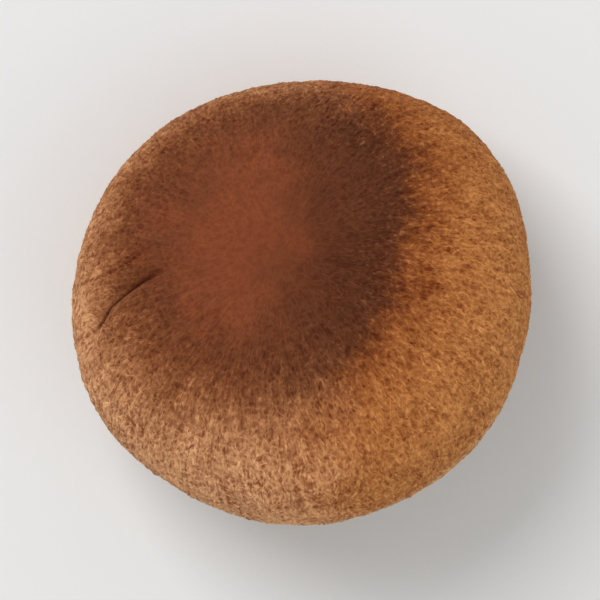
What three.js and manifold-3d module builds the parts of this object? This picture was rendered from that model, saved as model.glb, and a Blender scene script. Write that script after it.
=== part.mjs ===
// A fresh shiitake mushroom, picked and trimmed: one body of flesh with a thick round cap, crowded
// gills under it and a short bent stem. It stands on the cut end of its stem and leans on the far
// side of its cap, as a picked mushroom does when it is set down. Millimetres, +Z up. The surface it
// stands on is z = 0, and the origin is there, under the middle of the whole mushroom.
//
// The mushroom is grown upright about its own axis as one closed skin of rings, from the crown of
// the cap over the margin, in along the gills and down the stem. Then it is leaned over and cut by
// the surface it stands on, which leaves the stem's cut end and a small flat on the cap's edge.

import * as THREE from "three";
import { mergeVertices } from "three/addons/utils/BufferGeometryUtils.js";
import Module from "manifold-3d";

// Driving dimensions
const CAP_RADIUS = 29.65; // mean half-width of the cap
const CROWN_RISE = 15.5; // crown above the cap's widest level
const CROWN_FLATNESS = 2.4; // 2 is an ellipse, more is flatter on top
const MARGIN_DROP = 8.0; // widest level above the cap's lowest edge
const MARGIN_ROLL = 5.0; // how far the thick margin rolls in under the cap
const CAP_STRETCH = 0.45; // how much longer the cap is the way it leans
const LIP_RADIUS = 1.9; // inner turn of the margin, up to the gills
const GILL_DEPTH = 4.6;
const GILL_FLANK = 0.12; // half of how much wider a blade is at its foot than on its edge
const GILL_EDGE_AT_LIP = 2.0; // height of the gill edges above the cap's lowest edge
const GILL_EDGE_AT_STEM = 7.6;
const GILL_START = 0.9; // gap between the stem's flare and the inner ends of the gills
const GILL_COUNT = 80; // every other one is short
const BLADE_THICKNESS = 0.66;
const STEM_RADIUS = 5.7;
const STEM_FLARE = 1.1; // extra radius where the stem meets the gills
const STEM_FLARE_MOST = 1.6; // extra radius inside the flesh of the cap
const STEM_FOOT = 0.9; // extra radius at the cut end
const STEM_EASE = 4; // height over which flare and foot blend into the stem
const STEM_BEND = 6.4; // sideways reach of the bend, back under the cap's low side
const STEM_REACH = 24.0; // from the cap's lowest edge down past the cut
const LEAN = THREE.MathUtils.degToRad(25);
const LEAN_TOWARDS = THREE.MathUtils.degToRad(118); // the low side, from +X towards +Y
const EDGE_FLAT = 0.5; // how much of the cap's edge is pressed flat where it rests

// Fineness
const CROWN_RINGS = 18;
const ROLL_RINGS = 6;
const CAP_SIDES = 100;
const FOLD_CROWDING = 0.6; // how much closer the cap's columns lie at its fold, from 0 to 1
const STEM_SIDES = 36;
const LIP_TURNS = [0.5, 1];
const GILL_STATIONS = [1, 0.93, 0.82, 0.62, 0.4, 0.18, 0]; // from the lip, 1, to the stem, 0
const SHORT_GILL_FROM = 0.42; // short gills end here, on the same scale
const STEM_TOP = GILL_EDGE_AT_STEM + GILL_DEPTH * 0.4;
const STEM_HEIGHTS = [STEM_TOP, 6.5, 3, -1, -5, -9, -13, -17, -STEM_REACH];

const TURN = 2 * Math.PI;
const degrees = THREE.MathUtils.degToRad;

// A fixed sequence of numbers from 0 to 1, so that the mushroom is the same on every run.
function sequence(seed) {
  let state = seed;
  return () => {
    state = (state * 1664525 + 1013904223) % 4294967296;
    return state / 4294967296;
  };
}

// A smooth bump of height 1, a distance away from its middle, spread over about twice width.
function bump(away, width) {
  return Math.exp(-((away / width) ** 2));
}

function turnBetween(angle, other) {
  return Math.atan2(Math.sin(angle - other), Math.cos(angle - other));
}

// The cap is a little longer the way it leans, with one shoulder that bulges and one flatter side.
const SHOULDERS = [
  { azimuth: degrees(43), rise: 1.5, spread: 0.42 },
  { azimuth: degrees(240), rise: -0.95, spread: 0.4 },
];

// Half-width of the cap at an azimuth.
function capRadius(azimuth) {
  let radius = CAP_RADIUS + CAP_STRETCH * Math.cos(azimuth - LEAN_TOWARDS) ** 2;
  for (const shoulder of SHOULDERS) {
    radius += shoulder.rise * bump(turnBetween(azimuth, shoulder.azimuth), shoulder.spread);
  }
  return radius;
}

// The margin waves gently up and down round the cap.
function marginWave(azimuth) {
  return 0.5 * Math.sin(3 * azimuth + 0.8) + 0.35 * Math.sin(5 * azimuth + 2.1);
}

// The old fold in the cap's left side, seen from above as a curve from its outer to its inner end,
// and the fullness of the cap below it.
const FOLD = [
  [-26.0, -10.6],
  [-24.8, -6.2],
  [-22.6, -3.7],
  [-18.2, -1.4],
  [-13.6, 0.1],
  [-9.0, 0.5],
];
const FOLD_DEPTH = 1.5;
const FOLD_WIDTH = 1.5;
const SWELL = { rise: 0.7, offset: 4, spread: 3 };

// A shallow dip and a low rise on the crown.
const CROWN_BUMPS = [
  { x: -9, y: 16, rise: -0.5, spread: 7.75 },
  { x: 10, y: 3, rise: 0.6, spread: 10.5 },
];

// Azimuth of the fold at a distance off the axis, measured on from that of -X.
function foldTurn(out) {
  const track = FOLD.map(([x, y]) => ({ out: Math.hypot(x, y), turn: Math.atan2(-y, -x) }));
  if (out >= track[0].out) return track[0].turn;
  const next = track.findIndex((point) => point.out <= out);
  if (next < 0) return track[track.length - 1].turn;
  const [outer, inner] = [track[next - 1], track[next]];
  const share = (out - inner.out) / (outer.out - inner.out);
  return inner.turn + (outer.turn - inner.turn) * share;
}

// Distance from a point to the fold, with its share of the way along and the side that it is on.
function nearFold(x, y) {
  let best = { distance: Infinity, along: 0, side: 1 };
  for (let i = 0; i + 1 < FOLD.length; i++) {
    const [ax, ay] = FOLD[i];
    const [bx, by] = FOLD[i + 1];
    const [dx, dy] = [bx - ax, by - ay];
    const share = ((x - ax) * dx + (y - ay) * dy) / (dx * dx + dy * dy);
    const held = Math.min(1, Math.max(0, share));
    const [gapX, gapY] = [x - ax - held * dx, y - ay - held * dy];
    const distance = Math.hypot(gapX, gapY);
    if (distance < best.distance) {
      const side = Math.sign(dx * gapY - dy * gapX) || 1;
      best = { distance, along: (i + held) / (FOLD.length - 1), side };
    }
  }
  return best;
}

// How far the cap's skin stands out from its plain form at a point seen from above.
function relief(x, y) {
  const { distance, along, side } = nearFold(x, y);
  const strength = Math.sin(Math.PI * along) ** 0.8;
  let raised = -FOLD_DEPTH * strength * bump(distance, FOLD_WIDTH);
  if (side < 0) raised += SWELL.rise * strength * bump(distance - SWELL.offset, SWELL.spread);
  for (const { x: middleX, y: middleY, rise, spread } of CROWN_BUMPS) {
    raised += rise * bump(Math.hypot(x - middleX, y - middleY), spread);
  }
  return raised;
}

// A point of the cap's skin. turn goes from 1 at the crown's top, through 0 at the widest line, to
// -1 at the lowest edge.
function skinPoint(azimuth, turn) {
  const radius = capRadius(azimuth);
  const angle = (turn * Math.PI) / 2;
  const core = radius - MARGIN_ROLL;
  let out;
  let up;
  let slope;
  if (turn > 0) {
    out = radius * Math.cos(angle) ** (2 / CROWN_FLATNESS);
    up = MARGIN_DROP + CROWN_RISE * Math.sin(angle);
    slope = Math.atan2(Math.sin(angle) / CROWN_RISE, Math.cos(angle) / radius);
  } else {
    out = core + MARGIN_ROLL * Math.cos(angle);
    up = MARGIN_DROP * (1 + Math.sin(angle));
    slope = Math.atan2(Math.sin(angle) / MARGIN_DROP, Math.cos(angle) / MARGIN_ROLL);
  }
  up += marginWave(azimuth) * (out / radius) ** 4;
  const raised = relief(out * Math.cos(azimuth), out * Math.sin(azimuth)) * Math.min(1, 1 + turn);
  out += raised * Math.cos(slope);
  up += raised * Math.sin(slope);
  return new THREE.Vector3(out * Math.cos(azimuth), out * Math.sin(azimuth), up);
}

// A point of the inner turn of the margin. turn goes from 0 at the lowest edge to 1 at the gills.
function lipPoint(azimuth, turn) {
  const angle = (turn * Math.PI) / 2;
  const out = capRadius(azimuth) - MARGIN_ROLL - LIP_RADIUS * Math.sin(angle);
  const up = LIP_RADIUS * (1 - Math.cos(angle)) + marginWave(azimuth);
  return new THREE.Vector3(out * Math.cos(azimuth), out * Math.sin(azimuth), up);
}

// The stem's centre line, its radius and a point of its side, at a height in the upright frame.
function stemCentre(height) {
  const down = (GILL_EDGE_AT_STEM - height) / (GILL_EDGE_AT_STEM + STEM_REACH);
  const reach = STEM_BEND * Math.max(0, down) ** 1.6;
  return new THREE.Vector2(reach * Math.cos(LEAN_TOWARDS), reach * Math.sin(LEAN_TOWARDS));
}

function stemRadius(azimuth, height) {
  const footStart = -STEM_REACH * 0.55;
  const flare = STEM_FLARE * Math.exp((height - GILL_EDGE_AT_STEM) / STEM_EASE);
  const foot = STEM_FOOT * Math.exp((footStart - height) / STEM_EASE);
  const ribs = 0.25 * Math.cos(2 * azimuth + 0.6) + 0.16 * Math.cos(5 * azimuth + 1.4);
  return STEM_RADIUS + Math.min(flare, STEM_FLARE_MOST) + Math.min(foot, STEM_FOOT) + ribs;
}

function stemPoint(azimuth, height) {
  const centre = stemCentre(height);
  const out = stemRadius(azimuth, height);
  return new THREE.Vector3(
    centre.x + out * Math.cos(azimuth),
    centre.y + out * Math.sin(azimuth),
    height,
  );
}

// The gills differ a little in spacing, in where the short ones end and in how they sway.
const draw = sequence(7);
const GILLS = Array.from({ length: GILL_COUNT }, (_, index) => ({
  azimuth: ((index + 0.5 + 0.3 * (draw() - 0.5)) / GILL_COUNT) * TURN,
  short: index % 2 === 1,
  end: SHORT_GILL_FROM + 0.16 * (draw() - 0.5),
  sway: 0.012 * (draw() - 0.5),
}));

// Heights of the gills' edges and of the flesh between them, at a share of the way from the stem, 0,
// to the lip, 1. The gills run out to nothing at the lip and are shallower near the stem.
function gillHeights(share) {
  const edge = GILL_EDGE_AT_STEM + (GILL_EDGE_AT_LIP - GILL_EDGE_AT_STEM) * share ** 1.3;
  const runOut = Math.min(1, (1 - share) / 0.2) ** 0.8;
  const nearStem = 0.55 + 0.45 * Math.min(1, share / 0.3);
  return { edge, flesh: edge + GILL_DEPTH * runOut * nearStem };
}

// A ring with four points a blade, two at its foot in the flesh and two on its edge. Short blades
// grow thinner inwards and sink into the flesh before they reach the stem.
function gillRing(share) {
  const inner = STEM_RADIUS + STEM_FLARE + GILL_START;
  const { edge, flesh } = gillHeights(share);
  const ring = [];
  for (const gill of GILLS) {
    const outer = capRadius(gill.azimuth) - MARGIN_ROLL - LIP_RADIUS;
    const out = inner + (outer - inner) * share;
    const thinned = gill.short ? Math.min(1, 0.45 + share) : 1;
    const foot = ((BLADE_THICKNESS / 2 + GILL_FLANK) / out) * thinned;
    const top = ((BLADE_THICKNESS / 2 - GILL_FLANK) / out) * thinned;
    const centre = gill.azimuth + gill.sway * Math.sin(share * 9);
    const wave = marginWave(gill.azimuth) * share ** 4;
    const edgeHere = gill.short && share < gill.end ? flesh : edge;
    for (const [offset, height] of [
      [-foot, flesh],
      [-top, edgeHere],
      [top, edgeHere],
      [foot, flesh],
    ]) {
      const azimuth = centre + offset;
      const point = new THREE.Vector3(out * Math.cos(azimuth), out * Math.sin(azimuth), height + wave);
      ring.push({ azimuth, point });
    }
  }
  return ring;
}

// A ring round the cap, with the point that a function gives for each azimuth. Its columns lie
// closer together at the fold, and the middle one of these runs along the bottom of the fold.
function capRing(out, pointAt) {
  const foldColumn = Math.round(CAP_SIDES / 2);
  return Array.from({ length: CAP_SIDES }, (_, column) => {
    const away = ((column - foldColumn) / CAP_SIDES) * TURN;
    const crowded = away - FOLD_CROWDING * Math.sin(away);
    const azimuth = Math.PI + crowded + foldTurn(out) * bump(away, 1.2);
    return { azimuth, point: pointAt(azimuth) };
  });
}

function stemRing(height) {
  return Array.from({ length: STEM_SIDES }, (_, side) => {
    const azimuth = (side / STEM_SIDES) * TURN;
    return { azimuth, point: stemPoint(azimuth, height) };
  });
}

// One closed skin from rings in order, from the top pole to the bottom pole. Rings with the same
// number of points are joined column by column. Between others, the band of triangles steps along
// whichever ring lags behind.
function skinOf(topPole, rings, bottomPole) {
  const points = [topPole];
  const starts = rings.map((ring) => {
    const start = points.length;
    points.push(...ring.map((entry) => entry.point));
    return start;
  });
  points.push(bottomPole);
  const bottom = points.length - 1;
  const faces = [];
  const at = (k, i) => starts[k] + (i % rings[k].length);
  const azimuthAt = (k, i) => {
    const turns = Math.floor(i / rings[k].length);
    return rings[k][i % rings[k].length].azimuth + TURN * turns;
  };
  const last = rings.length - 1;
  for (let i = 0; i < rings[0].length; i++) faces.push([0, at(0, i), at(0, i + 1)]);
  for (let k = 0; k < last; k++) {
    const [above, below] = [rings[k].length, rings[k + 1].length];
    let i = 0;
    let j = 0;
    while (i < above || j < below) {
      const aboveLags = azimuthAt(k, i + 1) <= azimuthAt(k + 1, j + 1);
      const stepAbove = above === below ? i === j : j === below || (i < above && aboveLags);
      if (stepAbove) {
        faces.push([at(k, i), at(k + 1, j), at(k, i + 1)]);
        i++;
      } else {
        faces.push([at(k, i), at(k + 1, j), at(k + 1, j + 1)]);
        j++;
      }
    }
  }
  for (let i = 0; i < rings[last].length; i++) faces.push([at(last, i), bottom, at(last, i + 1)]);
  return new THREE.BufferGeometry().setFromPoints(points).setIndex(faces.flat());
}

function uprightMushroom() {
  const rings = [];
  for (let k = 1; k <= CROWN_RINGS; k++) {
    const turn = 1 - k / CROWN_RINGS;
    const out = CAP_RADIUS * Math.cos((turn * Math.PI) / 2) ** (2 / CROWN_FLATNESS);
    rings.push(capRing(out, (azimuth) => skinPoint(azimuth, turn)));
  }
  for (let k = 1; k <= ROLL_RINGS; k++) {
    rings.push(capRing(CAP_RADIUS, (azimuth) => skinPoint(azimuth, -k / ROLL_RINGS)));
  }
  for (const turn of LIP_TURNS) rings.push(capRing(CAP_RADIUS, (azimuth) => lipPoint(azimuth, turn)));
  for (const share of GILL_STATIONS) rings.push(gillRing(share));
  for (const height of STEM_HEIGHTS) rings.push(stemRing(height));
  const foot = stemCentre(-STEM_REACH);
  return skinOf(skinPoint(0, 1), rings, new THREE.Vector3(foot.x, foot.y, -STEM_REACH));
}

const wasm = await Module();
wasm.setup();

function solidOf(geometry) {
  const bare = geometry.clone();
  bare.deleteAttribute("normal");
  bare.deleteAttribute("uv");
  const merged = mergeVertices(bare, 1e-4);
  return new wasm.Manifold(
    new wasm.Mesh({
      numProp: 3,
      vertProperties: new Float32Array(merged.attributes.position.array),
      triVerts: new Uint32Array(merged.index.array),
    }),
  );
}

function geometryOf(solid) {
  const mesh = solid.getMesh();
  const geometry = new THREE.BufferGeometry();
  geometry.setAttribute("position", new THREE.BufferAttribute(mesh.vertProperties, 3));
  geometry.setIndex(new THREE.BufferAttribute(mesh.triVerts, 1));
  return geometry;
}

// Leans the mushroom over and lowers it until the edge of its cap is pressed flat by EDGE_FLAT, then
// cuts away what is below the surface it stands on.
function setDown(upright) {
  const leanAxis = new THREE.Vector3(-Math.sin(LEAN_TOWARDS), Math.cos(LEAN_TOWARDS), 0);
  upright.applyMatrix4(new THREE.Matrix4().makeRotationAxis(leanAxis, LEAN));
  const positions = upright.attributes.position;
  let lowest = Infinity;
  const capPoints = 1 + (CROWN_RINGS + ROLL_RINGS + LIP_TURNS.length) * CAP_SIDES;
  for (let i = 0; i < capPoints; i++) lowest = Math.min(lowest, positions.getZ(i));
  upright.translate(0, 0, -lowest - EDGE_FLAT);
  const blockSide = 200;
  const blockDepth = 60;
  const surface = new THREE.BoxGeometry(blockSide, blockSide, blockDepth);
  surface.translate(0, 0, -blockDepth / 2);
  const standing = geometryOf(solidOf(upright).subtract(solidOf(surface)));
  standing.computeBoundingBox();
  const { min, max } = standing.boundingBox;
  standing.translate(-(min.x + max.x) / 2, -(min.y + max.y) / 2, 0);
  standing.computeVertexNormals();
  return standing;
}

const flesh = new THREE.MeshStandardMaterial({ color: 0x94603a, roughness: 0.85, metalness: 0 });
const mushroom = new THREE.Mesh(setDown(uprightMushroom()), flesh);
mushroom.name = "mushroom";

const part = new THREE.Group();
part.add(mushroom);
export default part;
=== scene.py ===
"""A fresh shiitake mushroom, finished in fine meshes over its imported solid.

The mushroom is grown in its own upright frame, in millimetres, from the same dimensions as the
solid: the cap's skin with its nap, the gills, the stem and the remains of the veil. Each mesh is
then leaned over and set down where the solid stands.
"""

import itertools
import math

import bpy
import numpy as np
from mathutils import Matrix, Vector


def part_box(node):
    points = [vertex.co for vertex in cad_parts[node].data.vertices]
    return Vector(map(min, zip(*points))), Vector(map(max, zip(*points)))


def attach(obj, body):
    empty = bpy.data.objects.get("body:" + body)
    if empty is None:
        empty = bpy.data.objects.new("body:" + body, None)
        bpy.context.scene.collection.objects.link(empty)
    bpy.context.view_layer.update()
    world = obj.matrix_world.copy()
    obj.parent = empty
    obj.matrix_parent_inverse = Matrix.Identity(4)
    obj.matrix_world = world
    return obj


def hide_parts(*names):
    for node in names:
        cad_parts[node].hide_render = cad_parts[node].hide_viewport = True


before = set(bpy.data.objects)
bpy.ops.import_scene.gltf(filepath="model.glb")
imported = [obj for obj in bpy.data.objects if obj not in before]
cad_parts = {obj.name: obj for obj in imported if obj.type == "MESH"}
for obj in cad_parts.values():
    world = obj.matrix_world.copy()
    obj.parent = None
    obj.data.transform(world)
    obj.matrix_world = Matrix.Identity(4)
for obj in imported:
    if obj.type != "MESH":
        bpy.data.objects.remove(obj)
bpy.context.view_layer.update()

NODE_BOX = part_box("mushroom")
MM = 0.001
TURN = 2 * math.pi

# The solid's dimensions, in millimetres
CAP_RADIUS = 29.65
CAP_STRETCH = 0.45  # how much longer the cap is the way it leans
SHOULDERS = ((math.radians(43), 1.5, 0.42), (math.radians(240), -0.95, 0.4))  # azimuth, rise, spread
CROWN_RISE = 15.5
CROWN_FLATNESS = 2.4  # 2 is an ellipse, more is flatter on top
CROWN_BUMPS = ((-9, 16, -0.5, 60), (10, 3, 0.6, 110))  # x, y, rise and the square of the spread
MARGIN_DROP = 8.0  # widest level above the cap's lowest edge
MARGIN_ROLL = 5.0  # how far the thick margin rolls in under the cap
MARGIN_WAVES = ((3, 0.5, 0.8), (5, 0.35, 2.1))  # number of waves round the cap, height and phase
LIP_RADIUS = 1.9  # inner turn of the margin, up to the gills
GILL_DEPTH = 4.6
GILL_EDGE_AT_LIP = 2.0  # height of the gill edges above the cap's lowest edge
GILL_EDGE_AT_STEM = 7.6
GILL_SLOPE = 1.3  # 1 is a straight slope of the gill edges, more is flatter near the stem
GILL_START = 0.9  # gap between the stem's flare and the inner ends of the gills
STEM_RADIUS = 5.7
STEM_RIBS = ((2, 0.25, 0.6), (5, 0.16, 1.4))  # number of ribs round the stem, height and phase
STEM_FLARE = 1.1  # extra radius where the stem meets the gills
STEM_FLARE_MOST = 1.6  # extra radius inside the flesh of the cap
STEM_FOOT = 0.9  # extra radius at the cut end
STEM_FOOT_AT = 0.55  # share of the stem's reach down to where its foot has widened
STEM_EASE = 4  # height over which flare and foot blend into the stem
STEM_BEND = 6.4  # sideways reach of the bend, back under the cap's low side
STEM_REACH = 24.0  # from the cap's lowest edge down past the cut
LEAN = math.radians(25)
LEAN_TOWARDS = math.radians(118)
EDGE_FLAT = 0.5  # how much of the cap's edge is pressed flat where it rests
FOLD = ((-26.0, -10.6), (-24.8, -6.2), (-22.6, -3.7), (-18.2, -1.4), (-13.6, 0.1), (-9.0, 0.5))
FOLD_DEPTH = 1.5
FOLD_WIDTH = 1.5
SWELL_RISE = 0.7  # the fullness of the cap below the fold
SWELL_OFFSET = 4
SWELL_SPREAD = 3

# What the fine meshes add to the cap, in millimetres unless it is a share
FOLD_WANDER = 0.3
FOLD_OPENS = (0.0, 0.35)  # from its outer end to its full depth, as shares of the way along it
FOLD_CLOSES = (1.0, 0.5)  # the same from its inner end
FOLD_BANKS = (0.6, 1.15)  # shares of the fold's width on its steep and its gentle side
CREASE_DEPTH = 1.3  # the sharp line at the bottom of the fold
CREASE_WIDTH = 0.35
WRINKLE_X, WRINKLE_Y = -20, 1.3  # the middle of the fainter wrinkle beside the fold
WRINKLE_SLOPE = 0.4
WRINKLE_WIDTH = 0.7
WRINKLE_REACH = 3.4
WRINKLE_DEPTH = 0.5
WRINKLE_SHADE = 0.3  # how dark its painted shade is, as a share of the crease's
DISC_X, DISC_Y = -3.7, 3.3  # the middle of the cap's dark disc, and its two radii
DISC_WIDE, DISC_LONG = 17.2, 19.4
CAP_GRID = 305  # points along each side of the cap's grid
UNDERSIDE = 0.5  # how far the cap's hidden underside lies above the roots of the gills
UNDERSIDE_RINGS = (0.93, 0.6, 0.2, 0.0)  # from the lip, 1, to the stem, 0
SURFACE_GAP = 0.02  # keeps the parts that rest on the surface from flickering through it

# The nap's tufts, each with a root, two rings of three points and a tip
NAP_TUFTS = 16000
NAP_TRIES = 8  # places drawn for each tuft, of which one is kept
NAP_STATIONS = (-0.5, -0.2, 0.2, 0.5)  # along each tuft, from its root to its tip
NAP_LENGTH = (0.8, 2.2)
NAP_HALF_WIDTH = (0.06, 0.17)
NAP_PLUMPNESS = (0.4, 0.8)  # thickness, as a share of the half-width
NAP_SINK = 0.02  # how deep its edges lie in the skin
NAP_TIP = 0.3  # height of the tip, as a share of the thickness
NAP_HEADING = 0.45  # how far tufts turn from straight outwards, in radians
NAP_CURL = 0.6
NAP_LIGHTNESS = (-0.15, 0.5)
NAP_ROUNDING = 0.8  # how far the shading leans over at the sides of a tuft
FOLD_CLEARANCE = 1.2  # no tuft is rooted closer to the fold

# The gills
GILL_GROUPS = 40
GILL_ENDS = (0.0, 0.62, 0.36, 0.62)  # where a group's gills end, from the stem, 0, to the lip, 1
END_JITTER = 0.09  # of those ends, in the same shares
GILL_JITTER = 0.13  # of their places round the cap, in gills
GILL_RINGS = 76
GILL_CROWDING = 1.15  # 1 spaces the rings evenly, more crowds them at the lip
GILL_HALF_EDGE = 0.15
GILL_HALF_FOOT = 0.26
GILL_SUNK = 0.12  # share of a gill's thickness that stays where it has sunk into the flesh
GILL_SWAY = 0.010  # in radians
GILL_WAVE = 0.05
GILL_WAVE_TURNS = 24  # radians of that wave from the stem to the lip
GILL_NICK = 0.10
EDGE_ROUND = 0.13  # height of the rounding of a gill's edge
SHOULDER_WIDTH = 1.15  # half-width above the rounding, as a share of the edge's
TOP_RINGS = (0.0, 0.5, 0.9)  # of the gills' hidden top, from the stem, 0, to the lip, 1

# The stem
STEM_SIDES = 220
STEM_RINGS = 150
STEM_TOP = GILL_EDGE_AT_STEM + GILL_DEPTH * 0.4  # inside the flesh of the cap
CUT_RINGS = 16  # from the rim of the cut end to its middle
CUT_HOLLOW = 0.35  # how far the middle of the cut end has drawn in
CUT_ROUGHNESS = 0.04
HALVINGS = 40  # rounds of the search for the height at which the stem meets the surface

# The veil's tufts, each a closed tube of four sides
VEIL_TUFTS = 620
VEIL_STEPS = 5
VEIL_SIDES = 4
VEIL_ROOTS = (0.15, 0.95)  # from the margin's lowest edge, 0, to the gills, 1
VEIL_INWARD = (0.5, 1.0)  # the parts of the direction in which a tuft points
VEIL_SIDEWAYS = (-0.7, 0.7)
VEIL_UPWARD = (-0.5, 0.25)
VEIL_LENGTH = (0.5, 1.7)
VEIL_HALF_WIDTH = (0.12, 0.4)
VEIL_CURL = (-0.5, 0.5)
VEIL_SINK = 0.35  # how deep the roots lie in the lip
VEIL_TAPER = 0.85
VEIL_FLATNESS = 0.25  # half-height, as a share of the half-width

# The map that the export bakes a piece of many tufts through
BAKE_MAP = "OFBake"
CELL_EDGE = 0.08  # the share of a tuft's cell that is left free on each side

# The numbers that noise is made from
CELL_FACTORS = (73856093, 19349663, 83492791)
SEED_FACTOR = 6971
MIXERS = ((2654435761, 15), (2246822519, 13), (3266489917, 16))  # each factor, and the shift after it
LOW_BITS = 0xFFFFFFFF
SEED_MOVE = 17.31  # how far the next seed's noise lies, in features
SEEDS_PER_AXIS = 101
NOISE_REACH = 1.4  # brings noise out to about -1 and 1
LAYER_FADE = 1.8  # how much weaker each finer layer of noise is


# Noise and helpers


def hashed(cells, seed):
    """A number from -1 to 1 for each whole-numbered cell. Its large products wrap round."""
    with np.errstate(over="ignore"):
        first, second, third = (cells[..., i] * factor for i, factor in enumerate(CELL_FACTORS))
        mixed = (first ^ second ^ third) + seed * SEED_FACTOR
        for factor, shift in MIXERS:
            mixed = mixed * factor & LOW_BITS
            mixed = mixed ^ mixed >> shift
    return mixed / (LOW_BITS >> 1) - 1


def noise(points, size, seed):
    """Smooth noise, about -1 to 1, at points in space, with features about size across."""
    place = np.asarray(points) / size + seed * SEED_MOVE
    cell = np.floor(place).astype(np.int64)
    part = place - cell
    ease = part**3 * (part * (part * 6 - 15) + 10)
    total = np.zeros(place.shape[:-1])
    for corner in itertools.product((0, 1), repeat=3):
        corner = np.array(corner)
        seeds = [seed + SEEDS_PER_AXIS * axis for axis in range(3)]
        slope = np.stack([hashed(cell + corner, number) for number in seeds], axis=-1)
        value = (slope * (part - corner)).sum(axis=-1)
        weight = np.where(corner == 1, ease, 1 - ease).prod(axis=-1)
        total += value * weight
    return total * NOISE_REACH


def layered(points, size, seed, layers=3):
    """Noise with finer and weaker noise on top of it."""
    return sum(noise(points, size / 2**k, seed + k) / LAYER_FADE**k for k in range(layers))


def smooth(low, high, value):
    """0 below low, 1 above high, and a smooth step between them."""
    share = np.clip((value - low) / (high - low), 0, 1)
    return share * share * (3 - 2 * share)


def hump(angle, centre, width):
    """A smooth hump of height 1 round an angle."""
    away = np.arctan2(np.sin(angle - centre), np.cos(angle - centre))
    return np.exp(-((away / width) ** 2))


def ripple(azimuth, waves, curve):
    """The sum of waves round the axis, each with its number, height and phase."""
    return sum(height * curve(number * azimuth + phase) for number, height, phase in waves)


def unit(vectors):
    return vectors / np.maximum(np.linalg.norm(vectors, axis=-1, keepdims=True), 1e-9)


def polar(out, azimuth, up):
    """Points from their distance off the axis, azimuth and height."""
    return np.stack(np.broadcast_arrays(out * np.cos(azimuth), out * np.sin(azimuth), up), axis=-1)


# The mushroom's form, upright, as the solid has it


def cap_radius(azimuth):
    radius = CAP_RADIUS + CAP_STRETCH * np.cos(azimuth - LEAN_TOWARDS) ** 2
    for middle, rise, spread in SHOULDERS:
        radius = radius + rise * hump(azimuth, middle, spread)
    return radius


def margin_wave(azimuth):
    return ripple(azimuth, MARGIN_WAVES, np.sin)


def near_fold(x, y):
    """Distance to the fold, the share of the way along it, and the side of it, for each point."""
    distance = np.full(x.shape, np.inf)
    along = np.zeros(x.shape)
    side = np.ones(x.shape)
    for i, ((ax, ay), (bx, by)) in enumerate(itertools.pairwise(FOLD)):
        dx, dy = bx - ax, by - ay
        held = np.clip(((x - ax) * dx + (y - ay) * dy) / (dx * dx + dy * dy), 0, 1)
        gap_x, gap_y = x - ax - held * dx, y - ay - held * dy
        gap = np.hypot(gap_x, gap_y)
        nearer = gap < distance
        distance = np.where(nearer, gap, distance)
        along = np.where(nearer, (i + held) / (len(FOLD) - 1), along)
        side = np.where(nearer, np.where(dx * gap_y - dy * gap_x < 0, -1.0, 1.0), side)
    return distance, along, side


def fold_at(x, y):
    """Distance to the fold, its strength there and the side of it, along a slightly uneven line."""
    wander = FOLD_WANDER * noise(np.stack([x, y, 0 * x], axis=-1), size=3.0, seed=3)
    distance, along, side = near_fold(x + wander, y + wander)
    return distance, smooth(*FOLD_OPENS, along) * smooth(*FOLD_CLOSES, along), side


def creased(x, y):
    """How near a point is to the sharp bottom of the fold, from 0 to 1."""
    distance, strength, _ = fold_at(x, y)
    open_here = smooth(0.25, 1.0, strength)
    return open_here * np.exp(-distance / (CREASE_WIDTH * (0.35 + 0.65 * open_here)))


def relief(x, y):
    """How far the cap's skin stands out from its plain form, seen from above."""
    distance, strength, side = fold_at(x, y)
    width = np.where(side < 0, *FOLD_BANKS) * FOLD_WIDTH
    groove = -FOLD_DEPTH * np.exp(-((distance / width) ** 2))
    swell = SWELL_RISE * np.exp(-(((distance - SWELL_OFFSET) / SWELL_SPREAD) ** 2))
    raised = strength * (groove + np.where(side < 0, swell, 0)) - CREASE_DEPTH * creased(x, y)
    for middle_x, middle_y, rise, spread in CROWN_BUMPS:
        raised = raised + rise * np.exp(-((x - middle_x) ** 2 + (y - middle_y) ** 2) / spread)
    return raised


def skin_point(azimuth, turn):
    """The cap's skin: turn is 1 on the crown's top, 0 at the widest line, -1 at the lowest edge."""
    radius = cap_radius(azimuth)
    angle = turn * math.pi / 2
    crown = turn > 0
    out = np.where(
        crown,
        radius * np.clip(np.cos(angle), 0, 1) ** (2 / CROWN_FLATNESS),
        radius - MARGIN_ROLL + MARGIN_ROLL * np.cos(angle),
    )
    rise = np.where(crown, CROWN_RISE, MARGIN_DROP)
    up = MARGIN_DROP + rise * np.sin(angle) + margin_wave(azimuth) * (out / radius) ** 4
    reach = np.where(crown, radius, MARGIN_ROLL)
    slope = np.arctan2(np.sin(angle) / rise, np.cos(angle) / reach)
    raised = relief(out * np.cos(azimuth), out * np.sin(azimuth)) * np.minimum(1, 1 + turn)
    return polar(out + raised * np.cos(slope), azimuth, up + raised * np.sin(slope))


def lip_point(azimuth, turn):
    """The inner turn of the margin: turn is 0 at the lowest edge and 1 at the gills."""
    angle = turn * math.pi / 2
    out = cap_radius(azimuth) - MARGIN_ROLL - LIP_RADIUS * np.sin(angle)
    return polar(out, azimuth, LIP_RADIUS * (1 - np.cos(angle)) + margin_wave(azimuth))


def gill_reach(azimuth, share):
    """Distance off the axis at a share of the way from the stem, 0, to the lip, 1."""
    inner = STEM_RADIUS + STEM_FLARE + GILL_START
    outer = cap_radius(azimuth) - MARGIN_ROLL - LIP_RADIUS
    return inner + (outer - inner) * share


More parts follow.
